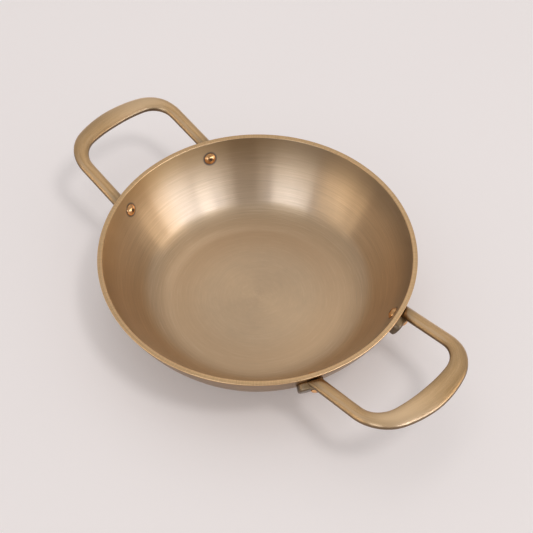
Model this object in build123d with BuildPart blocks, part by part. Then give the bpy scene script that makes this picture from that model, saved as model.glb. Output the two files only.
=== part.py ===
"""A small brass kadai: a round open pan with two cast loop handles, each held by two copper rivets.

The origin is the middle of the flat bottom, at the level that the pan stands on. +Z is up, and +X
runs along the line of the handles, towards the right handle. All sizes are in millimetres.
"""
from build123d import *
from math import atan2, cos, degrees, radians, sin, sqrt
import os

# Bowl: its outside, from the flat bottom up the curved side to the flat rim
rim_radius = 120.4
bowl_height = 62.5
side_spread = 26.0
shoulder_spread = 29.4
shoulder_height = 14.5
wall_thickness = 3.8
rim_edge_rounding = 0.9

# Handles: a flat loop that leans up and out from the side of the bowl
leg_spacing = 89.6
leg_width = 10.0
leg_thickness = 7.2
leg_drop_below_rim = 7.0
leg_rise_angle = 11.0
leg_root_inset = 6.4
leg_gap_to_wall = 0.7
handle_edge_rounding = 2.0

# Grip: wider than the legs, with its outer edge bent down a little
grip_reach = 74.3
grip_width = 16.9
grip_outer_radius = 83.7
grip_inner_radius = 141.5
outer_corner_radius = 29.0
inner_corner_radius = 18.5
grip_thickness = 5.0
grip_bend_length = 24.3
grip_drop = 3.4

# Feet: thick tabs that lie on the side of the bowl under the end of each leg
foot_width = 22.0
foot_height = 15.0
foot_thickness = 6.0
foot_corner_radius = 4.0
foot_edge_rounding = 1.2
web_reach = 4.0

# Rivets: domed heads on both sides, closed through the wall and the foot
rivet_depth_below_rim = 14.0
rivet_shank_diameter = 5.0
rivet_head_diameter = 8.8
rivet_head_height = 2.6
rivet_dimple_diameter = 1.8
rivet_dimple_depth = 0.5
rivet_hole_clearance = 0.1

# One length that carries every cut and every hidden end past what it meets
overrun = 12.0

# Places that follow from the sizes above: the bowl and the legs keep their distances from the rim
shoulder_radius = rim_radius - side_spread
base_radius = shoulder_radius - shoulder_spread
leg_root_reach = rim_radius - leg_root_inset
grip_bend_start = grip_reach - grip_bend_length

os.makedirs("parts", exist_ok=True)

# Bowl: two tangent arcs make the side, and the wall is the same line moved inwards
with BuildPart() as bowl:
    with BuildSketch(Plane.XZ) as bowl_section:
        with BuildLine() as bowl_side:
            bottom_line = Line((0, 0), (base_radius, 0))
            shoulder_arc = TangentArc(
                bottom_line @ 1, (shoulder_radius, shoulder_height), tangent=bottom_line % 1
            )
            side_arc = TangentArc(
                shoulder_arc @ 1, (rim_radius, bowl_height), tangent=shoulder_arc % 1
            )
            offset(amount=wall_thickness, side=Side.LEFT)
        make_face()
        split(bisect_by=Plane.XZ.offset(-bowl_height), keep=Keep.TOP)
        fillet(bowl_section.vertices().group_by(Axis.Y)[-1], radius=rim_edge_rounding)
    revolve(axis=Axis.Z)

# The solid space that the bowl takes up, and the same a little larger: feet and leg ends follow them
with BuildPart() as bowl_form:
    with BuildSketch(Plane.XZ):
        with BuildLine():
            Line((0, 0), (base_radius, 0))
            add(shoulder_arc)
            add(side_arc)
            Polyline(side_arc @ 1, (rim_radius, bowl_height + overrun), (0, bowl_height + overrun), (0, 0))
        make_face()
    revolve(axis=Axis.Z)
with BuildPart() as cleared_form:
    add(bowl_form.part)
    offset(amount=leg_gap_to_wall)

# Each rivet goes square through the wall, under the root of its leg
side_centre = side_arc.arc_center
rivet_height = bowl_height - rivet_depth_below_rim
rivet_reach = side_centre.X + sqrt(side_arc.radius**2 - (side_centre.Y - rivet_height) ** 2)
rivet_slope = atan2(side_centre.Y - rivet_height, rivet_reach - side_centre.X)
foot_angle = degrees(atan2(leg_spacing / 2, leg_root_reach))
rivet_hole_radius = rivet_shank_diameter / 2 + rivet_hole_clearance


def rivet_plane(angle):
    """The plane that touches the outside of the bowl where a rivet goes through, facing outwards."""
    turn = radians(angle)
    outwards = (cos(rivet_slope) * cos(turn), cos(rivet_slope) * sin(turn), -sin(rivet_slope))
    place = (rivet_reach * cos(turn), rivet_reach * sin(turn), rivet_height)
    return Plane(origin=place, x_dir=(-sin(turn), cos(turn), 0), z_dir=outwards)


# The handle's own planes: x runs out along the legs, which rise a little away from the bowl
rise = radians(leg_rise_angle)
along_legs = (cos(rise), 0, sin(rise))
leg_root = (leg_root_reach, 0, bowl_height - leg_drop_below_rim)
loop_plane = Plane(origin=leg_root, x_dir=along_legs, z_dir=(-sin(rise), 0, cos(rise)))
side_plane = Plane(origin=leg_root, x_dir=along_legs, z_dir=(0, -1, 0))


def loop_face(half_width, reach, grip_radius, corner_radius):
    """The area inside one edge of the loop, from behind the wall of the bowl out to the grip."""
    grip_centre = reach - grip_radius
    corner = grip_centre + sqrt(grip_radius**2 - half_width**2)
    with BuildSketch() as area:
        with BuildLine():
            Polyline(
                (corner, half_width), (-overrun, half_width), (-overrun, -half_width), (corner, -half_width)
            )
            ThreePointArc((corner, -half_width), (reach, 0), (corner, half_width))
        make_face()
        fillet(area.vertices().group_by(Axis.X)[-1], radius=corner_radius)
    return area.sketch


loop_outside = loop_face(
    (leg_spacing + leg_width) / 2, grip_reach, grip_outer_radius, outer_corner_radius
)
loop_inside = loop_face(
    (leg_spacing - leg_width) / 2, grip_reach - grip_width, grip_inner_radius, inner_corner_radius
)


def foot_solid(angle):
    """The tab under one leg end, thick enough inwards to be cut to the curve of the bowl."""
    wall_plane = rivet_plane(angle)
    with BuildPart() as foot:
        with BuildSketch(wall_plane) as foot_outline:
            RectangleRounded(foot_width, foot_height, foot_corner_radius)
        extrude(amount=foot_thickness)
        outer_face = foot.faces().sort_by(Axis(wall_plane.origin, wall_plane.z_dir))[-1]
        fillet(outer_face.edges(), radius=foot_edge_rounding)
        extrude(foot_outline.sketch, amount=-wall_thickness)
    return foot.part


# The web rounds out the corner between the underside of a leg and the face of its foot
leg_middle = Plane.XZ.offset(-leg_spacing / 2)
underside = loop_plane.offset(-leg_thickness / 2)
foot_face = rivet_plane(foot_angle).offset(foot_thickness)
web_corner = leg_middle.to_local_coords(leg_middle.intersect(underside.intersect(foot_face)))
along_leg = Vector(cos(rise), sin(rise))
down_foot = Vector(foot_face.z_dir.Z, -foot_face.z_dir.X).normalized()
into_leg = Vector(-sin(rise), cos(rise)) * leg_thickness / 2
into_foot = Vector(-foot_face.z_dir.X, -foot_face.z_dir.Z) * foot_thickness / 2
web_top = web_corner + along_leg * web_reach
web_bottom = web_corner + down_foot * web_reach
with BuildPart() as web:
    with BuildSketch(leg_middle):
        with BuildLine():
            TangentArc(web_top, web_bottom, tangent=-along_leg)
            Polyline(web_bottom, web_bottom + into_foot, web_top + into_leg, web_top)
        make_face()
    extrude(amount=leg_width / 2 - handle_edge_rounding, both=True)

with BuildPart() as right_handle:
    # The loop as seen from above, cut to its thickness as seen from the side
    with BuildSketch(loop_plane):
        add(loop_outside)
        add(loop_inside, mode=Mode.SUBTRACT)
    extrude(amount=overrun, both=True)
    with BuildSketch(side_plane):
        with BuildLine():
            top_line = Line((-overrun, leg_thickness / 2), (grip_bend_start, leg_thickness / 2))
            top_bend = TangentArc(
                top_line @ 1, (grip_reach, grip_thickness / 2 - grip_drop), tangent=top_line % 1
            )
            under_line = Line((-overrun, -leg_thickness / 2), (grip_bend_start, -leg_thickness / 2))
            under_bend = TangentArc(
                under_line @ 1, (grip_reach, -grip_thickness / 2 - grip_drop), tangent=under_line % 1
            )
            Line(top_bend @ 1, under_bend @ 1)
            Line(top_line @ 0, under_line @ 0)
        make_face()
    extrude(amount=leg_spacing, both=True, mode=Mode.INTERSECT)
    long_edges = right_handle.edges().filter_by(lambda edge: edge.center().X > leg_root_reach)
    fillet(long_edges, radius=handle_edge_rounding)

    # The legs stop just short of the wall, and each ends in a foot that lies flat on it
    add(cleared_form.part, mode=Mode.SUBTRACT)
    for angle in (-foot_angle, foot_angle):
        add(foot_solid(angle))
    add(web.part)
    add(mirror(web.part, about=Plane.XZ, mode=Mode.PRIVATE))
    add(bowl_form.part, mode=Mode.SUBTRACT)
    for angle in (-foot_angle, foot_angle):
        with Locations(rivet_plane(angle).offset(foot_thickness + rivet_head_height)):
            CounterBoreHole(
                radius=rivet_hole_radius,
                counter_bore_radius=rivet_head_diameter / 2 + rivet_hole_clearance,
                counter_bore_depth=rivet_head_height,
                depth=foot_thickness + rivet_head_height + overrun,
            )

with BuildPart() as left_handle:
    add(right_handle.part.rotate(Axis.Z, 180))

# The bowl's own holes for the rivets
right_places = {"right_front_rivet": -foot_angle, "right_back_rivet": foot_angle}
left_places = {"left_back_rivet": 180 - foot_angle, "left_front_rivet": 180 + foot_angle}
rivet_places = right_places | left_places
with bowl:
    for angle in rivet_places.values():
        with Locations(rivet_plane(angle)):
            Hole(radius=rivet_hole_radius, depth=wall_thickness + overrun)

# A rivet along its own axis: z is 0 on the outside of the wall and grows outwards
with BuildPart() as rivet_form:
    with BuildSketch(Plane.XZ):
        with BuildLine():
            inner_seat, outer_seat = -wall_thickness, foot_thickness
            inner_top, outer_top = inner_seat - rivet_head_height, outer_seat + rivet_head_height
            head, shank, dimple = (
                rivet_head_diameter / 2, rivet_shank_diameter / 2, rivet_dimple_diameter / 2
            )
            TangentArc((dimple, inner_top), (head, inner_seat), tangent=(1, 0))
            Polyline((head, inner_seat), (shank, inner_seat), (shank, outer_seat), (head, outer_seat))
            TangentArc((dimple, outer_top), (head, outer_seat), tangent=(1, 0))
            TangentArc((0, outer_top - rivet_dimple_depth), (dimple, outer_top), tangent=(1, 0))
            Line((0, outer_top - rivet_dimple_depth), (0, inner_top + rivet_dimple_depth))
            TangentArc((0, inner_top + rivet_dimple_depth), (dimple, inner_top), tangent=(1, 0))
        make_face()
    revolve(axis=Axis.Z)

for name, angle in rivet_places.items():
    with BuildPart() as rivet:
        add(rivet_form.part.moved(rivet_plane(angle).location))
        add(bowl.part, mode=Mode.SUBTRACT)
    rivet.part.label = name
    export_step(rivet.part, f"parts/{name}.step")

bowl.part.label = "bowl"
export_step(bowl.part, "parts/bowl.step")
right_handle.part.label = "right_handle"
export_step(right_handle.part, "parts/right_handle.step")
left_handle.part.label = "left_handle"
export_step(left_handle.part, "parts/left_handle.step")
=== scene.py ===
from math import atan2, cos, pi, radians, sin, sqrt, tan

import bpy
import numpy as np
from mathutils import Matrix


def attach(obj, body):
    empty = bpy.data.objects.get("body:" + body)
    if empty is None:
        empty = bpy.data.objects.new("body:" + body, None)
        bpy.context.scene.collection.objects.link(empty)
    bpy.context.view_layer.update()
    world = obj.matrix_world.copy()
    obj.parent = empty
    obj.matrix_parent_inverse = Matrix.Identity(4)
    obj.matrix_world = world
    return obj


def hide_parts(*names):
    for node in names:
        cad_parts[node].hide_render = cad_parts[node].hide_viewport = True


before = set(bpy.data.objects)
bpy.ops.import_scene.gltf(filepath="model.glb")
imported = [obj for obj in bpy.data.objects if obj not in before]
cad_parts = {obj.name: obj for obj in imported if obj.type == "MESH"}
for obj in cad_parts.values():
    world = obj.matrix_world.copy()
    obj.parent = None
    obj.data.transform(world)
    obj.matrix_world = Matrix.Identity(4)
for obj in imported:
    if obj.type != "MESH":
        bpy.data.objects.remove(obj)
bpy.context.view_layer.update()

# Bowl: one shell of brass, spun over a form and turned true, with a flat rim and a flat bottom.
# It is brushed in rings while it turns, and the face of the rim is filed across.
rim_radius = 0.1204
bowl_height = 0.0625
shoulder_radius = 0.0944
shoulder_height = 0.0145
base_radius = 0.0650
wall_thickness = 0.0038
rim_rounding = 0.0009

# Its line runs out along the bottom, up the outside, over the rim and down the inside.
points_round_bowl = 384
first_ring_radius = 0.0030
bottom_points = 12
outer_shoulder_points = 24
outer_side_points = 50
rim_rounding_points = 9
rim_face_points = 5
inner_side_points = 60
inner_shoulder_points = 28


def tangent_arc(start, end, heading):
    """The arc that leaves start along heading and ends at end. Its centre lies on the line
    through start that is square to heading, as far from end as from start. Gives its centre,
    its radius and its first and last angle."""
    side = np.array([-heading[1], heading[0]])
    chord = end - start
    reach = chord @ chord / (2 * chord @ side)
    centre = start + reach * side
    first, last = start - centre, end - centre
    return centre, abs(reach), atan2(first[1], first[0]), atan2(last[1], last[0])


def arc(centre, radius, first, last, count):
    """Points at even angles: the centre plus the radius times each angle's cosine and sine."""
    angle = np.linspace(first, last, count)
    return centre + radius * np.stack([np.cos(angle), np.sin(angle)], -1)


def rounded_corner(corner, before, after, radius, count):
    """The arc that replaces a corner. Its centre lies on the corner's bisector, and its radius
    turns evenly from the side before to the side after. before and after point away from the
    corner."""
    half = np.arccos(before @ after) / 2
    centre = corner + (before + after) / np.linalg.norm(before + after) * radius / np.sin(half)
    first = corner + before * radius / np.tan(half) - centre
    last = corner + after * radius / np.tan(half) - centre
    turn = np.linspace(0, 1, count)[:, None]
    gap = pi - 2 * half
    return centre + (np.sin((1 - turn) * gap) * first + np.sin(turn * gap) * last) / np.sin(gap)


def turned(line, count):
    """Rings of points: each point of the line, a radius and a height, goes round the Z axis."""
    angle = np.linspace(0, 2 * pi, count, endpoint=False)
    radius, height = line[:, :1], line[:, 1:]
    level = np.broadcast_to(height, (len(line), count))
    return np.stack([radius * np.cos(angle), radius * np.sin(angle), level], -1)


def skin(name, *shells):
    """A mesh of closed shells, each made of rings of points and two poles. Each ring is joined
    to the next by quads, and the end rings to the poles by triangles. The faces point outwards."""
    points, faces, base = [], [], 0
    for rings, first_pole, last_pole in shells:
        count, around = rings.shape[:2]
        here = np.arange(around)
        ahead = np.roll(here, -1)
        start = np.arange(count - 1)[:, None] * around
        corners = [start + here, start + ahead, start + ahead + around, start + here + around]
        quads = np.stack(corners, -1).reshape(-1, 4)
        end = (count - 1) * around
        first_fan = np.stack([np.full(around, count * around), ahead, here], -1)
        last_fan = np.stack([np.full(around, count * around + 1), end + here, end + ahead], -1)
        faces += [(base + some).tolist() for some in (first_fan, quads, last_fan)]
        points += [rings.reshape(-1, 3), [first_pole, last_pole]]
        base += count * around + 2
    mesh = bpy.data.meshes.new(name)
    mesh.from_pydata(np.concatenate(points).tolist(), [], sum(faces, []))
    mesh.shade_smooth()
    return mesh


def piece(name, mesh, node, slot, *finishes):
    """Puts a mesh in the scene in place of its CAD node, with its finishes, on the one body."""
    made = bpy.data.objects.new(name, mesh)
    bpy.context.scene.collection.objects.link(made)
    for finish in finishes:
        mesh.materials.append(finish)
    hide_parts(node)
    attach(made, "root")


shoulder_start = np.array([base_radius, 0.0])
shoulder_end = np.array([shoulder_radius, shoulder_height])
shoulder = tangent_arc(shoulder_start, shoulder_end, np.array([1.0, 0.0]))
shoulder_centre, shoulder_bend, shoulder_first, shoulder_last = shoulder
side_heading = np.array([-sin(shoulder_last), cos(shoulder_last)])
side = tangent_arc(shoulder_end, np.array([rim_radius, bowl_height]), side_heading)
side_centre, side_bend, side_first, side_last = side

inner_shoulder_bend = shoulder_bend - wall_thickness
inner_bend = side_bend - wall_thickness
inner_last = np.arcsin((bowl_height - side_centre[1]) / inner_bend)
outer_edge = side_centre + side_bend * np.array([cos(side_last), sin(side_last)])
inner_edge = side_centre + inner_bend * np.array([cos(inner_last), sin(inner_last)])
inwards = np.array([-1.0, 0.0])
down_outside = np.array([sin(side_last), -cos(side_last)])
down_inside = np.array([sin(inner_last), -cos(inner_last)])
outer_round = rounded_corner(outer_edge, down_outside, inwards, rim_rounding, rim_rounding_points)
inner_round = rounded_corner(inner_edge, -inwards, down_inside, rim_rounding, rim_rounding_points)
outer_trim = np.linalg.norm(outer_round[0] - outer_edge) / side_bend
inner_trim = np.linalg.norm(inner_round[-1] - inner_edge) / inner_bend

bottom_radii = np.linspace(first_ring_radius, base_radius, bottom_points)
flat_out = np.stack([bottom_radii, np.zeros(bottom_points)], -1)
flat_in = flat_out[::-1] + [0, wall_thickness]
rim_face = np.linspace(outer_round[-1], inner_round[0], rim_face_points)[1:-1]
outside_line = np.concatenate([
    flat_out,
    arc(shoulder_centre, shoulder_bend, shoulder_first, shoulder_last, outer_shoulder_points)[1:],
    arc(side_centre, side_bend, side_first, side_last - outer_trim, outer_side_points)[1:-1],
])
rim_line = np.concatenate([outer_round, rim_face, inner_round])
inside_line = np.concatenate([
    arc(side_centre, inner_bend, inner_last - inner_trim, side_first, inner_side_points)[1:],
    arc(
        shoulder_centre, inner_shoulder_bend, shoulder_last, shoulder_first, inner_shoulder_points
    )[1:],
    flat_in[1:],
])
bowl_line = np.concatenate([outside_line, rim_line, inside_line])


class Wire:
    """One output of a shader node. Each sign + - * / on it adds a Math node, from either side."""

    def __init__(self, socket):
        self.socket = socket

    def other(self, kind, settings=None, inputs=None, out=0):
        """Any other node: its type, then its settings, then the values or links of its sockets."""
        tree = self.socket.id_data
        node = tree.nodes.new(kind)
        for name, value in (settings or {}).items():
            setattr(node, name, value)
        for name, value in (inputs or {}).items():
            if isinstance(value, Wire):
                tree.links.new(value.socket, node.inputs[name])
            else:
                node.inputs[name].default_value = value
        return Wire(node.outputs[out])

    def maths(self, operation, first, second=0.0):
        """A Math node on two numbers or outputs."""
        return self.other("ShaderNodeMath", {"operation": operation}, {0: first, 1: second})

    def __add__(self, value):
        return self.maths("ADD", self, value)

    def __radd__(self, value):
        return self.maths("ADD", value, self)

    def __sub__(self, value):
        return self.maths("SUBTRACT", self, value)

    def __rsub__(self, value):
        return self.maths("SUBTRACT", value, self)

    def __mul__(self, value):
        return self.maths("MULTIPLY", self, value)

    def __rmul__(self, value):
        return self.maths("MULTIPLY", value, self)

    def __truediv__(self, value):
        return self.maths("DIVIDE", self, value)

    def __rtruediv__(self, value):
        return self.maths("DIVIDE", value, self)

    def step(self, low, high):
        """A smooth step from 0 at low to 1 at high."""
        settings = {"interpolation_type": "SMOOTHSTEP"}
        return self.other("ShaderNodeMapRange", settings, {0: self, 1: low, 2: high})

    def blend(self, first, second):
        """A colour that goes from the first to the second as this value goes from 0 to 1."""
        inputs = {0: self, 6: first, 7: second}
        return self.other("ShaderNodeMix", {"data_type": "RGBA"}, inputs, 2)

    def parts(self):
        """The three numbers of this vector."""
        return [self.other("ShaderNodeSeparateXYZ", None, {0: self}, n) for n in range(3)]

    def vector(self, x, y, z):
        """A vector from three numbers."""
        return self.other("ShaderNodeCombineXYZ", None, {0: x, 1: y, 2: z})

    def vector_maths(self, operation, second=(0.0, 0.0, 0.0), out=0):
        """A Vector Math node on this vector and a second one. Its output 1 is a number."""
        settings = {"operation": operation}
        return self.other("ShaderNodeVectorMath", settings, {0: self, 1: second}, out)

    def noise(self, scale, detail, rough):
        """Soft random noise from 0 to 1, read at this place."""
        inputs = {"Vector": self, "Scale": scale, "Detail": detail, "Roughness": rough}
        return self.other("ShaderNodeTexNoise", {"noise_dimensions": "3D"}, inputs)

    def bump(self, distance, strength, base=None):
        """A surface direction tilted by this height, which is given in parts of the distance."""
        inputs = {"Height": self, "Distance": distance, "Strength": strength}
        if base is not None:
            inputs["Normal"] = base
        return self.other("ShaderNodeBump", None, inputs)


def new_finish(name, **fixed):
    """A finish whose shader has these values, and is a metal's where they don't say otherwise.
    Gives it with its shader and its Object coordinates."""
    finish = bpy.data.materials.new(name)
    finish.use_nodes = True
    tree = finish.node_tree
    shader = tree.nodes["Principled BSDF"]
    shader.inputs["Metallic"].default_value = 1.0
    for words, value in fixed.items():
        shader.inputs[words.replace("_", " ").title()].default_value = value
    place = Wire(tree.nodes.new("ShaderNodeTexCoord").outputs["Object"])
    return finish, shader, place


def feed(shader, **wires):
    """Links each wire to the shader's socket of that name."""
    for words, wire in wires.items():
        socket = shader.inputs[words.replace("_", " ").title()]
        socket.id_data.links.new(wire.socket, socket)


def colour(red, green, blue):
    """The four numbers that a colour socket takes."""
    return (red, green, blue, 1.0)


def brass(tone):
    """A warm brass colour at a level."""
    return colour(0.665 * tone, 0.450 * tone, 0.245 * tone)


def from_axis(place):
    """A point's x, y and z, and its distance from the bowl's axis: the root of x and y squared."""
    x, y, z = place.parts()
    return x, y, z, place.maths("SQRT", x * x + y * y)


# Turning leaves fine rings, coarser ones, and a wall that is very slightly uneven. Each has how
# often it changes in a metre along the profile, and in a turn of one radian round the axis.
fine_along, fine_round = 1300, 5
coarse_along, coarse_round = 620, 2.5
wave_along, wave_round = 4, 3.4


def turned_marks(place):
    """The marks of turning: noise that changes fast along the profile and slowly round it. The
    distance along the profile is taken as radius plus height. Gives the fine rings, the coarse
    rings, the wall's unevenness and the radius."""
    x, y, z, out = from_axis(place)
    round_x, round_y = x / (out + 0.001), y / (out + 0.001)
    along = out + z
    fine = place.vector(along * fine_along, round_x * fine_round, round_y * fine_round)
    coarse = place.vector(along * coarse_along, round_x * coarse_round, round_y * coarse_round)
    wave = place.vector(round_x * wave_round, round_y * wave_round, along * wave_along)
    wave = (wave.noise(1.0, 1.0, 0.5) - 0.5) * out.step(0.070, 0.100)
    return fine.noise(1.0, 3.0, 0.6), coarse.noise(1.0, 2.0, 0.5), wave, out


# The four rivet heads sit at the same place in each quarter of the bowl. A dark line of painted
# shade is drawn round each, where its head meets the wall.
leg_spacing = 0.0896
leg_root_reach = rim_radius - 0.0064
foot_angle = atan2(leg_spacing / 2, leg_root_reach)
rivet_height = bowl_height - 0.0140
rivet_reach = side_centre[0] + sqrt(side_bend**2 - (side_centre[1] - rivet_height) ** 2)
rivet_tilt = atan2(side_centre[1] - rivet_height, rivet_reach - side_centre[0])
rivet_head_radius = 0.0048
rivet_shade_start, rivet_shade_end = rivet_head_radius + 0.0003, rivet_head_radius + 0.0016
grime_and_shade_brown = colour(0.10, 0.06, 0.035)


def on_rivet_axis(level):
    """The point of the right back rivet's axis at a level, which is 0 on the outside of the wall
    and grows outwards."""
    reach = rivet_reach + level * cos(rivet_tilt)
    height = rivet_height - level * sin(rivet_tilt)
    return reach * cos(foot_angle), reach * sin(foot_angle), height


# The inside is browner over the outer part of the bottom and sandier on the wall, and its rings show
# less on the bottom. Close under the rim it is darkened by painted shade, golden on one side of the
# bowl and dark olive on the other.
outer_bottom_brown = colour(0.655, 0.405, 0.190)
wall_sand = colour(0.69, 0.50, 0.295)
bright_ring = colour(0.93, 0.70, 0.45)
dark_ring = colour(0.40, 0.28, 0.15)
golden_rim_shade = colour(0.47, 0.275, 0.085)
olive_rim_shade = colour(0.22, 0.16, 0.095)
olive_shade_direction = (0.66, 0.75)
rim_shade_spread = 0.11
bottom_rings = 0.35

bowl_finish, shader, place = new_finish(
    "ring_brushed_brass",
    anisotropic=0.66,
    anisotropic_rotation=0.25,
    coat_weight=1.0,
    coat_roughness=0.32,
)
shader.inputs["Coat IOR"].default_value = 1.9
fine, coarse, wave, out = turned_marks(place)
cloud = place.noise(90.0, 4.0, 0.6)
mirrored = place.vector_maths("ABSOLUTE")
# Painted shade: a dark ring round each rivet head, where it meets the wall.
from_rivet = mirrored.vector_maths("DISTANCE", on_rivet_axis(-wall_thickness), 1)
rivet_shade = 1 - from_rivet.step(rivet_shade_start, rivet_shade_end)
outer_bottom = out.step(0.035, 0.060)
wall = out.step(0.075, 0.095)
under_rim = out.step(0.103, 0.117)
brushed = out.step(0.060, 0.095) * (1 - bottom_rings) + bottom_rings
lines = (fine + coarse) / 2
bright_lines = lines.step(0.50, 0.66) * brushed
dark_lines = (1 - lines.step(0.34, 0.50)) * brushed
x, y = place.parts()[:2]
# The half of the bowl where the painted shade under the rim turns dark olive.
olive_shade_side = (x * olive_shade_direction[0] + y * olive_shade_direction[1]).step(-rim_shade_spread, rim_shade_spread)
base = cloud.step(0.3, 0.7).blend(brass(0.99), brass(1.05))
base = (outer_bottom * 0.6).blend(base, outer_bottom_brown)
base = (wall * 0.75).blend(base, wall_sand)
base = (bright_lines * 0.32).blend(base, bright_ring)
base = (dark_lines * 0.26).blend(base, dark_ring)
# Painted shade close under the rim: dark olive on one side of the bowl, golden on the other.
base = (under_rim * 0.8).blend(base, olive_shade_side.blend(golden_rim_shade, olive_rim_shade))
# Painted shade round the rivet heads.
base = (rivet_shade * 0.9).blend(base, grime_and_shade_brown)
feed(
    shader,
    base_color=base,
    roughness=0.30 + cloud * 0.05 + fine * 0.08 + rivet_shade * 0.2,
    normal=wave.bump(0.0026, 0.5, (fine + coarse * 0.6).bump(0.00001, 0.6)),
)

# The rim is filed flat, with fine marks across it and a line turned near its middle.
filed_dark = colour(0.71, 0.455, 0.225)
filed_bright = colour(0.84, 0.55, 0.28)
turned_line_brown = colour(0.34, 0.21, 0.11)
turned_line_radius = 0.1184
turned_line_half = 0.00025
filing_round, filing_out = 210, 90

rim_finish, shader, place = new_finish(
    "filed_rim_brass", anisotropic=0.6, coat_weight=0.6, coat_roughness=0.25
)
x, y, _, out = from_axis(place)
round_x, round_y = x / out * filing_round, y / out * filing_round
across = place.vector(round_x, round_y, out * filing_out).noise(1.0, 3.0, 0.6)
line_start = out.step(turned_line_radius - turned_line_half, turned_line_radius)
line_end = out.step(turned_line_radius, turned_line_radius + turned_line_half)
turned_line = line_start * (1 - line_end)
base = across.step(0.3, 0.7).blend(filed_dark, filed_bright)
base = (turned_line * 0.45).blend(base, turned_line_brown)
feed(
    shader,
    base_color=base,
    roughness=0.24 + across * 0.14,
    normal=(across - turned_line).bump(0.00002, 0.7),
)

# The outside is turned too. Its deep brown is painted shade, which keeps dark the outside that
# mirrors the floor under the pan.
outside_shade_brown = colour(0.23, 0.135, 0.062)
outside_shade_brass = colour(0.29, 0.17, 0.078)
outside_shade_ring = colour(0.33, 0.20, 0.095)

outside_finish, shader, place = new_finish("outside_brass_painted_shade", coat_weight=0.1, coat_roughness=0.3)
fine, coarse, wave, out = turned_marks(place)
cloud = place.noise(45.0, 4.0, 0.6)
# Painted shade: the outside's browns are kept dark.
base = cloud.step(0.3, 0.7).blend(outside_shade_brown, outside_shade_brass)
base = ((fine + coarse) / 2).step(0.30, 0.70).blend(base, outside_shade_ring)
feed(
    shader,
    base_color=base,
    roughness=0.32 + cloud * 0.08 + fine * 0.06,
    normal=wave.bump(0.0008, 0.4, (fine + coarse).bump(0.00002, 0.6)),
)

# The faces follow the bowl's line from the middle of the bottom: the outside, the rim's face with
# most of each rounding, and the inside, which keeps the first finish.
unfiled_rings = 2
bowl_finishes = (bowl_finish, rim_finish, outside_finish)
bowl_shell = turned(bowl_line, points_round_bowl), (0, 0, 0), (0, 0, wall_thickness)
bowl_mesh = skin("brass_bowl", bowl_shell)
piece("brass_bowl", bowl_mesh, "bowl", "bowl_brass", *bowl_finishes)
rim_start = points_round_bowl * (1 + len(outside_line) + unfiled_rings)
rim_end = points_round_bowl * (1 + len(outside_line) + len(rim_line) - unfiled_rings)
finish_of_face = np.zeros(len(bowl_mesh.polygons), np.int32)
finish_of_face[:rim_start] = bowl_finishes.index(outside_finish)
finish_of_face[rim_start:rim_end] = bowl_finishes.index(rim_finish)
bowl_mesh.polygons.foreach_set("material_index", finish_of_face)

# Handles: two like castings in brass. Each is a loop, narrow and thick at its legs and wide and
# thin at its grip, whose legs end on tabs that lie on the wall. They are filed smooth and left to
# age, and two rivets hold each.
leg_width = 0.0100
leg_thickness = 0.0072
leg_rise = radians(11.0)
leg_gap_to_wall = 0.0007
leg_root = np.array([leg_root_reach, 0.0, bowl_height - 0.0070])
leg_flatness = 2.5
leg_crown = 0.35
leg_end_rounding = 0.0007
loop_reach = 0.0743
grip_width = 0.0169
grip_thickness = 0.0056
grip_flatness = 5.5
grip_crown = 0.60
corner_bend = 0.0250
grip_bend = 0.1007
drop_start = 0.0500
grip_drop = 0.0034
widening_start = 0.0448
widening_power = 1.6
widening_softness = 0.01
loop_step = 0.0005
bend_spread_steps = 10
points_round_leg = 64
leg_end_rings = 5
leg_cut_rounds = 8

# The middle line of the loop runs straight along a leg, round a corner, over the grip and back.
grip_middle = loop_reach - grip_width / 2 - grip_bend
corner_side = leg_spacing / 2 - corner_bend
corner_middle = grip_middle + sqrt((grip_bend - corner_bend) ** 2 - corner_side**2)
grip_turn = atan2(corner_side, corner_middle - grip_middle)
leg_length = corner_middle
corner_length = corner_bend * (pi / 2 - grip_turn)
half_loop = leg_length + corner_length + grip_bend * grip_turn
loop_start = 0.0030


def loop_line():
    """The middle line of the loop in its own plane, its heading and its distance from the nearer
    root. It is the running sum of steps whose heading turns by one over the bend of each stretch,
    with each change of bend spread over 5 mm to both sides."""
    count = 2 * round((half_loop - loop_start) / loop_step) + 1
    along = np.linspace(loop_start - half_loop, half_loop - loop_start, count)
    from_root = half_loop - np.abs(along)
    bend = np.where(from_root < leg_length, 0.0, 1 / corner_bend)
    bend = np.where(from_root > leg_length + corner_length, 1 / grip_bend, bend)
    spread = np.hanning(2 * bend_spread_steps + 1)
    padded = np.pad(bend, bend_spread_steps, mode="edge")
    bend = np.convolve(padded, spread / spread.sum(), mode="valid")
    step = along[1] - along[0]
    turned_by = np.concatenate([[0], np.cumsum((bend[1:] + bend[:-1]) / 2 * step)])
    heading = -turned_by * pi / turned_by[-1]
    between = (heading[1:] + heading[:-1]) / 2
    steps = step * np.stack([np.cos(between), np.sin(between)], -1)
    line = np.concatenate([[[0, 0]], np.cumsum(steps, 0)])
    middle = line[count // 2]
    middle_reach = loop_reach - grip_width / 2 - loop_start
    scale = np.array([middle_reach / middle[0], -leg_spacing / 2 / middle[1]])
    return line * scale + [loop_start, leg_spacing / 2], heading, from_root


def across_section(angle, flatness):
    """A rounded box as a point goes round it: the cosine and sine raised to 2 over the flatness."""
    wide, high = np.cos(angle), np.sin(angle)
    power = 2 / flatness
    return np.sign(wide) * np.abs(wide) ** power, np.sign(high) * np.abs(high) ** power


def on_loop_plane(along, sideways, up):
    """Points of the row frame from the plane of the loop, which rises away from the bowl."""
    return np.stack([
        leg_root[0] + along * cos(leg_rise) - up * sin(leg_rise),
        leg_root[1] + sideways,
        leg_root[2] + along * sin(leg_rise) + up * cos(leg_rise),
    ], -1)


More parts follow.
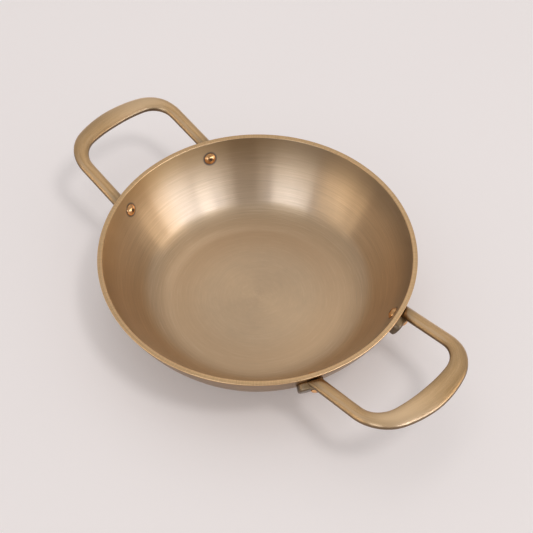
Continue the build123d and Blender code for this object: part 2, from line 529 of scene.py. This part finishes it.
def wall_reach(height, gap):
    """The radius of the outside of the bowl at a height, moved out from the wall by a gap."""
    bend = side_bend + gap
    return side_centre[0] + np.sqrt(bend**2 - (side_centre[1] - height) ** 2)


def leg_end(offset, high, root_side, heading, far):
    """Rings from the rounded edge of a leg's end to where the loop begins, and their lay. Each
    point moves along the leg until it lies on the curve of the wall, and the straight rings share
    out the way from there to the loop. far is the loop's lay at its end."""
    fold = np.linspace(0, pi / 2, leg_end_rings)[:, None]
    share = np.linspace(0, 1, leg_end_rings + 2)[1:-1, None]
    inset = np.concatenate([leg_end_rounding * (1 - np.sin(fold)), np.zeros_like(fold)])
    rounding = leg_end_rounding * (1 - np.cos(fold))
    wide = offset * (1 - inset / (leg_width / 2))
    up = high * (leg_thickness / 2 - inset)
    sideways = root_side + np.cos(heading) * wide
    cut = np.zeros_like(sideways)
    for attempt in range(leg_cut_rounds):
        point = on_loop_plane(cut, sideways, up)
        reach = np.sqrt(wall_reach(point[..., 2], leg_gap_to_wall) ** 2 - sideways**2)
        cut = cut + (reach - point[..., 0]) / cos(leg_rise)
    rounded = rounding + cut[:leg_end_rings]
    straight = cut[leg_end_rings:] * (1 - share) + loop_start * share + rounding[-1] * (1 - share)
    along = np.concatenate([rounded, straight])
    lay = np.stack([far * (1 - along / half_loop), wide, up], -1)
    return on_loop_plane(along, sideways, up), lay


def loop_rings():
    """Rings of points round the loop, with both ends cut to the curve of the wall, and for each
    point its lay: its place along the loop, across it and up from its middle. The section's width
    and flatness grow smoothly from the legs to the grip, and its top and underside are crowned."""
    line, heading, from_root = loop_line()
    along_grip = np.clip((from_root - widening_start) / (half_loop - widening_start), -1, 1)
    along_grip = along_grip + np.sqrt(along_grip**2 + widening_softness)
    along_grip = along_grip / (1 + sqrt(1 + widening_softness))
    widening = 1 - (1 - along_grip) ** widening_power
    half_width = (leg_width + (grip_width - leg_width) * widening) / 2
    angle = np.linspace(0, 2 * pi, points_round_leg, endpoint=False)
    flatness = (leg_flatness + (grip_flatness - leg_flatness) * widening)[:, None]
    crown = (leg_crown + (grip_crown - leg_crown) * widening)[:, None]
    wide, high = across_section(angle, flatness)
    high = high * (1 + crown * (1 - wide**2)) / (1 + crown)
    offset = wide * half_width[:, None]
    along = line[:, :1] - np.sin(heading)[:, None] * offset
    sideways = line[:, 1:] + np.cos(heading)[:, None] * offset
    dropped = np.clip((along - drop_start) / (loop_reach - drop_start), 0, None) ** 2
    half_thickness = (leg_thickness - (leg_thickness - grip_thickness) * dropped) / 2
    loop = on_loop_plane(along, sideways, high * half_thickness - grip_drop * dropped)
    signed = np.linspace(-half_loop, half_loop, len(line))[:, None] + 0 * offset
    lay = np.stack([signed, offset, high * half_thickness], -1)

    first, first_lay = leg_end(offset[0], high[0], line[0, 1], heading[0], signed[0])
    last, last_lay = leg_end(offset[-1], high[-1], line[-1, 1], heading[-1], signed[-1])
    rings = np.concatenate([first, loop, last[::-1]])
    lay = np.concatenate([first_lay, lay, last_lay[::-1]])
    return (rings, first[0].mean(0), last[0].mean(0)), lay


# Tabs: one under each leg end, cast with it and longer to one side. Each is cut to the curve of
# the wall and runs up into the leg with a soft web.
foot_reach = 0.0130
foot_short_side = 0.0062
foot_height = 0.0150
foot_thickness = 0.0060
foot_rounding = 0.0017
foot_squareness = 3.4
foot_side_levels = np.array([0, 0.3, 0.6, 0.9])
foot_rounding_rings = 5
foot_face_rings = 23
points_round_foot = 96
web_reach = 0.0040
web_full, web_gone = 0.26 * leg_width, 0.62 * leg_width
web_clear_of_head = 0.001
seat_gap = 0.00002
foot_lay_start = 1.0


def on_wall(sideways, down, out, angle):
    """Points of the row frame from the wall round a rivet: sideways round the bowl, down along
    the wall and out square to it."""
    slope = -rivet_tilt - down / side_bend
    reach = side_centre[0] + (side_bend + out) * np.cos(slope)
    height = side_centre[1] + (side_bend + out) * np.sin(slope)
    round_bowl = angle + sideways / rivet_reach
    return np.stack([reach * np.cos(round_bowl), reach * np.sin(round_bowl), height], -1)


def smooth_step(value, low, high):
    """Goes from 0 at low to 1 at high along the curve 3 t squared minus 2 t cubed."""
    t = np.clip((value - low) / (high - low), 0, 1)
    return t * t * (3 - 2 * t)


def web_height(sideways, down, angle):
    """How far the tab rises into its leg: an arc that leaves the face of the tab and meets the
    underside of the leg, as far from their corner on both."""
    point = on_wall(sideways, down, foot_thickness, angle)
    beyond_root, over_root = point[..., 0] - leg_root[0], point[..., 2] - leg_root[2]
    above = over_root * cos(leg_rise) - beyond_root * sin(leg_rise)
    fold = pi / 2 - rivet_tilt - leg_rise
    from_corner = -(above + leg_thickness / 2) / sin(fold)
    bend = web_reach / tan(fold / 2)
    run = np.clip(web_reach - from_corner, 0, bend * sin(fold))
    rise = bend - np.sqrt(bend**2 - run**2)
    leg_side = np.abs(point[..., 1] - np.sign(angle) * leg_spacing / 2)
    under_leg_shade = 1 - smooth_step(leg_side, web_full, web_gone)
    from_head = np.hypot(sideways, down) - rivet_head_radius
    return rise * under_leg_shade * smooth_step(from_head, 0, web_clear_of_head)


def foot_rings(angle):
    """Rings of points from the middle of the tab's back, over its rounded edge, to the middle of
    its face, and their lay, which starts a metre from the loop's so that their grains differ."""
    edge = np.linspace(0, 2 * pi, points_round_foot, endpoint=False)
    fold = np.linspace(0, pi / 2, foot_rounding_rings + 1)[1:]
    straight = foot_thickness - foot_rounding
    inset = np.concatenate([0 * foot_side_levels, foot_rounding * (1 - np.cos(fold))])[:, None]
    over_edge = 1 + np.sin(fold) * foot_rounding / straight
    level = np.concatenate([foot_side_levels, over_edge]) * straight
    wide, high = across_section(edge, foot_squareness)
    wide_rim = wide * ((foot_reach + foot_short_side) / 2 - inset)
    high_rim = high * (foot_height / 2 - inset)
    share = np.linspace(1, 0, foot_face_rings + 2)[1:-1, None]
    middle = (foot_short_side - foot_reach) / 2
    sideways = np.concatenate([wide_rim, wide_rim[-1] * share]) + middle
    down = np.concatenate([high_rim, high_rim[-1] * share])
    out = np.concatenate([level, np.full(foot_face_rings, foot_thickness)])[:, None]
    raised = web_height(sideways, down, angle) * np.minimum(out / foot_thickness, 1)
    rings = on_wall(sideways, down, seat_gap + out + raised, angle)
    poles = [on_wall(middle, 0, seat_gap + up, angle) for up in (0, foot_thickness)]
    return (rings, *poles), np.stack([foot_lay_start + sideways, down, out + raised], -1)


# The brass is streaked along the loop, and specked and spotted brown. Shade is painted on it: dark
# on faces that turn down or aside, near the wall and low under the legs, and browner over part of
# each
# grip. Highlights are painted on it too: paler where the legs' faces turn up and to the front, and
# on one half of each grip.
cast_brass = colour(0.72, 0.445, 0.19)
cast_bright = colour(0.80, 0.50, 0.22)
streak_pale = colour(0.92, 0.62, 0.33)
spot_brown = colour(0.46, 0.30, 0.15)
# Painted shade and painted highlights: a browner and a paler grip colour, a pale leg colour and
# three dark browns.
grip_shade_brown = colour(0.40, 0.25, 0.11)
grip_highlight_pale = colour(0.98, 0.70, 0.41)
leg_highlight_pale = colour(0.98, 0.71, 0.44)
side_and_under_shade_brown = colour(0.14, 0.085, 0.045)
near_wall_shade_brown = colour(0.17, 0.125, 0.07)
under_leg_shade_brown = colour(0.15, 0.105, 0.06)
streak_scale = (70, 1300, 1300)
# How far up and to the front a leg's face turns where the painted highlight lies.
highlight_up, highlight_front = 0.91, 0.42

handle_finish, shader, place = new_finish(
    "handle_brass_painted_light", anisotropic=0.7, anisotropic_rotation=0.25, coat_roughness=0.28
)
lay = place.other("ShaderNodeAttribute", {"attribute_name": "lay"}, None, 1)
streaks = place.other("ShaderNodeMapping", None, {0: lay, 3: streak_scale}).noise(1.0, 3.0, 0.6)
cloud = place.noise(60.0, 4.0, 0.6)
worn = place.noise(260.0, 3.0, 0.6)
speckle = place.noise(1500.0, 2.0, 0.7)
uneven = worn - 0.5
x, y, z, out = from_axis(place)
facing_y, facing_up = Wire(place.socket.node.outputs["Normal"]).parts()[1:]
held = out.step(0.158, 0.176)
# x times y is below zero over the half of each grip with the painted highlight, and lowest towards
# its corner.
below_zero = x * y * -1
# Painted highlight on one half of each grip; painted shade on the rest of the grip.
grip_highlight = below_zero.step(-0.003, 0.006) * (1 - below_zero.step(0.0062, 0.0086)) * held
# Painted highlight: a pale stripe where a leg's face turns up and to the front.
leg_highlight = (facing_up * highlight_up - facing_y * highlight_front).step(0.95, 0.995)
# Painted shade on faces that turn down or aside, near the wall and low under the legs.
side_and_under_shade = 1 - (facing_up + uneven * 0.2).step(0.25, 0.86)
near_wall_shade = 1 - (out + uneven * 0.006).step(0.119, 0.133)
under_leg_shade = 1 - (z + uneven * 0.003).step(0.0505, 0.0560)
base = cloud.step(0.3, 0.7).blend(cast_brass, cast_bright)
base = (streaks.step(0.35, 0.7) * 0.6).blend(base, streak_pale)
base = ((1 - speckle.step(0.30, 0.55)) * 0.30).blend(base, spot_brown)
base = (worn.step(0.60, 0.82) * 0.35).blend(base, spot_brown)
base = ((held - grip_highlight) * 0.35).blend(base, grip_shade_brown)
base = (grip_highlight * 0.8).blend(base, grip_highlight_pale)
base = (leg_highlight * (1 - held) * 0.6).blend(base, leg_highlight_pale)
base = (side_and_under_shade * 0.88).blend(base, side_and_under_shade_brown)
# Painted shade near the wall.
base = (near_wall_shade * 0.5).blend(base, near_wall_shade_brown)
# Painted shade low under the legs.
base = (under_leg_shade * 0.75).blend(base, under_leg_shade_brown)
feed(
    shader,
    base_color=base,
    coat_weight=0.9 - side_and_under_shade * 0.6,
    roughness=0.30 + cloud * 0.06 + streaks * 0.10 + side_and_under_shade * 0.06,
    normal=(streaks + worn * 0.5).bump(0.00002, 0.6),
)


def casting(name, node, side):
    """One handle: the loop and its two tabs in one mesh, as they are for side 1 and turned half
    round the bowl's axis for side -1. Each point keeps its lay, and a pole takes its ring's."""
    made = [loop_rings(), foot_rings(-foot_angle), foot_rings(foot_angle)]
    spin = np.array([side, side, 1.0])
    mesh = skin(name, *[[part * spin for part in shell] for shell, lay in made])
    lays = [np.concatenate([lay.reshape(-1, 3), lay[[0, -1]].mean(1)]) for shell, lay in made]
    kept = mesh.attributes.new("lay", "FLOAT_VECTOR", "POINT")
    kept.data.foreach_set("vector", np.concatenate(lays).ravel())
    piece(name, mesh, node, "handle_brass", handle_finish)


casting("right_handle_casting", "right_handle", 1.0)
casting("left_handle_casting", "left_handle", -1.0)

# Rivets: four like copper rivets, each pushed through the wall and a tab and closed with a domed
# head on both sides, the inner one pressed into the wall's curve. The set that closed them left a
# small dimple in the middle of each head.
rivet_shank_radius = 0.0025
rivet_head_height = 0.0026
dimple_radius = 0.0009
dimple_depth = 0.0005
head_press = 0.00002
dome_points = 14
dimple_points = 6
points_round_rivet = 64


def head_line(seat, way):
    """One head from its seat to its middle: an arc that is level at the dimple, and the dimple,
    which is half a cosine wave."""
    top = seat + way * rivet_head_height
    dome_run = rivet_head_radius - dimple_radius
    bend = (dome_run**2 + rivet_head_height**2) / (2 * rivet_head_height)
    run = np.linspace(dome_run, 0, dome_points)
    dome = top - way * (bend - np.sqrt(bend**2 - run**2))
    rim = np.stack([run + dimple_radius, dome], -1)
    hollow = np.linspace(1, 0.1, dimple_points)[1:]
    bottom = top - way * dimple_depth * (0.5 + 0.5 * np.cos(pi * hollow))
    return np.concatenate([rim, np.stack([hollow * dimple_radius, bottom], -1)])


inner_head = head_line(-wall_thickness + head_press, -1)
outer_head = head_line(foot_thickness + seat_gap, 1)
shank = np.array([[rivet_shank_radius, head[0, 1]] for head in (inner_head, outer_head)])
rivet_line = np.concatenate([inner_head[::-1], shank, outer_head])
rivet_ends = (rivet_line[0, 1], rivet_line[-1, 1])

copper = colour(0.76, 0.40, 0.165)
bright_copper = colour(0.85, 0.48, 0.22)

rivet_finish, shader, place = new_finish("polished_copper")
cloud = place.noise(420.0, 3.0, 0.6)
mirrored = place.vector_maths("ABSOLUTE")
base = cloud.step(0.35, 0.65).blend(copper, bright_copper)
for level in rivet_ends:
    away = mirrored.vector_maths("DISTANCE", on_rivet_axis(level), 1)
    dimple = 1 - away.step(dimple_radius * 1.2, dimple_radius * 2.2)
    base = (dimple * 0.95).blend(base, grime_and_shade_brown)
feed(
    shader,
    base_color=base,
    roughness=0.20 + cloud * 0.10,
    normal=cloud.bump(0.00004, 0.2),
)


def rivet(node, angle):
    """One rivet, turned round its own axis and set square through the wall at an angle round the
    bowl. The shape's own axes are turned to level round the bowl, upright and outwards."""
    outwards = (cos(rivet_tilt) * cos(angle), cos(rivet_tilt) * sin(angle), -sin(rivet_tilt))
    level = (-sin(angle), cos(angle), 0.0)
    turn = np.stack([level, np.cross(outwards, level), outwards])
    middle = np.array([rivet_reach * cos(angle), rivet_reach * sin(angle), rivet_height])
    rings = turned(rivet_line, points_round_rivet) @ turn + middle
    poles = np.array([[0, 0, end] for end in rivet_ends]) @ turn + middle
    name = f"{node}_copper"
    piece(name, skin(name, (rings, *poles)), node, "rivet_copper", rivet_finish)


rivet("right_front_rivet", -foot_angle)
rivet("right_back_rivet", foot_angle)
rivet("left_back_rivet", pi - foot_angle)
rivet("left_front_rivet", pi + foot_angle)

# Floor: a plain pale floor, faintly clouded, which takes the pan's soft shadows. It glows a little
# for the camera and in clear or mirrored rays, so that it looks near white without more light.
floor_reach = 6.0
floor_lines = 5
span = np.linspace(-floor_reach, floor_reach, floor_lines)
across, deep = np.meshgrid(span, span)
floor_points = np.stack([across, deep, np.zeros_like(across)], -1).reshape(-1, 3)
row = np.arange(floor_lines - 1)
first_corners = (row[:, None] * floor_lines + row).reshape(-1, 1)
floor_faces = first_corners + np.array([0, 1, floor_lines + 1, floor_lines])
floor_mesh = bpy.data.meshes.new("floor")
floor_mesh.from_pydata(floor_points.tolist(), [], floor_faces.tolist())
floor = bpy.data.objects.new("floor", floor_mesh)
bpy.context.scene.collection.objects.link(floor)

floor_pale, floor_paler = colour(0.80, 0.756, 0.747), colour(0.83, 0.785, 0.776)
no_glow, floor_glow = colour(0.0, 0.0, 0.0), colour(0.20, 0.189, 0.187)
floor_finish, shader, place = new_finish("pale_floor", metallic=0.0, roughness=0.8)
shader.inputs["Specular IOR Level"].default_value = 0.2
shader.inputs["Emission Strength"].default_value = 1.0
rays = place.socket.id_data.nodes.new("ShaderNodeLightPath").outputs
camera_ray, glossy_ray, clear_ray = [
    Wire(rays[name]) for name in ("Is Camera Ray", "Is Glossy Ray", "Is Transmission Ray")
]
seen = camera_ray + glossy_ray + clear_ray
feed(
    shader,
    base_color=place.noise(3.0, 2.0, 0.5).blend(floor_pale, floor_paler),
    emission_color=seen.step(0.0, 1.0).blend(no_glow, floor_glow),
)
floor_mesh.materials.append(floor_finish)

# Light: a soft pale room that is darker low down on the camera's side, and wide soft boxes that
# face the middle of the pan. The camera sees the room paler than the metal does.
room_pale = colour(0.98, 0.95, 0.94)
room_dark = colour(0.22, 0.21, 0.20)
room_seen = colour(1.9, 1.85, 1.84)
room_strength = 0.47
dark_bearing = radians(54)

world = bpy.data.worlds.new("studio")
bpy.context.scene.world = world
world.use_nodes = True
nodes = world.node_tree.nodes
towards = Wire(nodes.new("ShaderNodeTexCoord").outputs["Generated"])
dark_side = (sin(dark_bearing), -cos(dark_bearing), 0.0)
facing = towards.vector_maths("DOT_PRODUCT", dark_side, 1)
seen = Wire(nodes.new("ShaderNodeLightPath").outputs["Is Camera Ray"])
room = seen.blend(facing.step(0.90, 0.995).blend(room_pale, room_dark), room_seen)
background = nodes["Background"]
world.node_tree.links.new(room.socket, background.inputs["Color"])
background.inputs["Strength"].default_value = room_strength


def lamp(name, bearing, elevation, distance, width, depth, power, tint):
    """A soft box that faces the middle of the pan from a bearing and a height above the floor."""
    light = bpy.data.lights.new(name, "AREA")
    light.shape = "RECTANGLE"
    light.size = width
    light.size_y = depth
    light.energy = power
    light.color = tint
    box = bpy.data.objects.new(name, light)
    turn, rise = radians(bearing), radians(elevation)
    outwards = (sin(turn) * cos(rise), -cos(turn) * cos(rise), sin(rise))
    box.location = [distance * part for part in outwards]
    box.rotation_euler = (pi / 2 - rise, 0, turn)
    bpy.context.scene.collection.objects.link(box)
    return box


# Five low boxes are there to show in the metal, three a little cool and two a little warm. They are
# kept out of diffuse light, so that they throw no long shadows on the floor.
box_distance = 2.6
low_boxes = [
    lamp("front_left_box", 22, 27, box_distance, 1.22, 0.85, 8.6, (0.84, 0.97, 1.24)),
    lamp("low_left_box", 342, 15, box_distance, 1.3, 0.68, 4.8, (1.10, 0.97, 0.80)),
    lamp("front_right_box", 89, 27, box_distance, 0.88, 0.85, 9.4, (0.86, 0.97, 1.22)),
    lamp("right_box", 113, 17, box_distance, 0.85, 0.98, 9.6, (0.86, 0.98, 1.25)),
    lamp("far_right_box", 130, 19, box_distance, 1.0, 0.9, 6.0, (1.10, 0.94, 0.74)),
]
for box in low_boxes:
    box.visible_diffuse = False

# Two weak boxes behind the pan light the metal and the floor alike.
plain_white = (1.0, 0.98, 0.97)
lamp("back_box", 240, 50, box_distance, 1.79, 1.3, 1.2, plain_white)
lamp("high_right_box", 203, 61, box_distance, 0.9, 0.8, 1.1, plain_white)

# The key light and a wide one overhead give the floor its light and its shadows. They are kept out
# of the metal's reflections.
key_distance = 3.2
floor_lights = [
    lamp("key_box", 97, 65, key_distance, 0.52, 0.52, 17.0, plain_white),
    lamp("top_box", 90, 88, box_distance, 1.6, 1.6, 8.0, plain_white),
]
for light in floor_lights:
    light.visible_glossy = False

# Camera: it looks down at the pan from the photograph's angle.
camera_tilt = radians(52.035)
camera_bearing = radians(48.016)
camera_data = bpy.data.cameras.new("camera")
camera_data.sensor_width = 36.0
camera_data.lens = 82.93
camera = bpy.data.objects.new("camera", camera_data)
camera.location = (0.43311, -0.38070, 0.78064)
camera.rotation_euler = (pi / 2 - camera_tilt, 0, camera_bearing)
bpy.context.scene.collection.objects.link(camera)
bpy.context.scene.camera = camera
bpy.context.scene.view_settings.view_transform = "Standard"
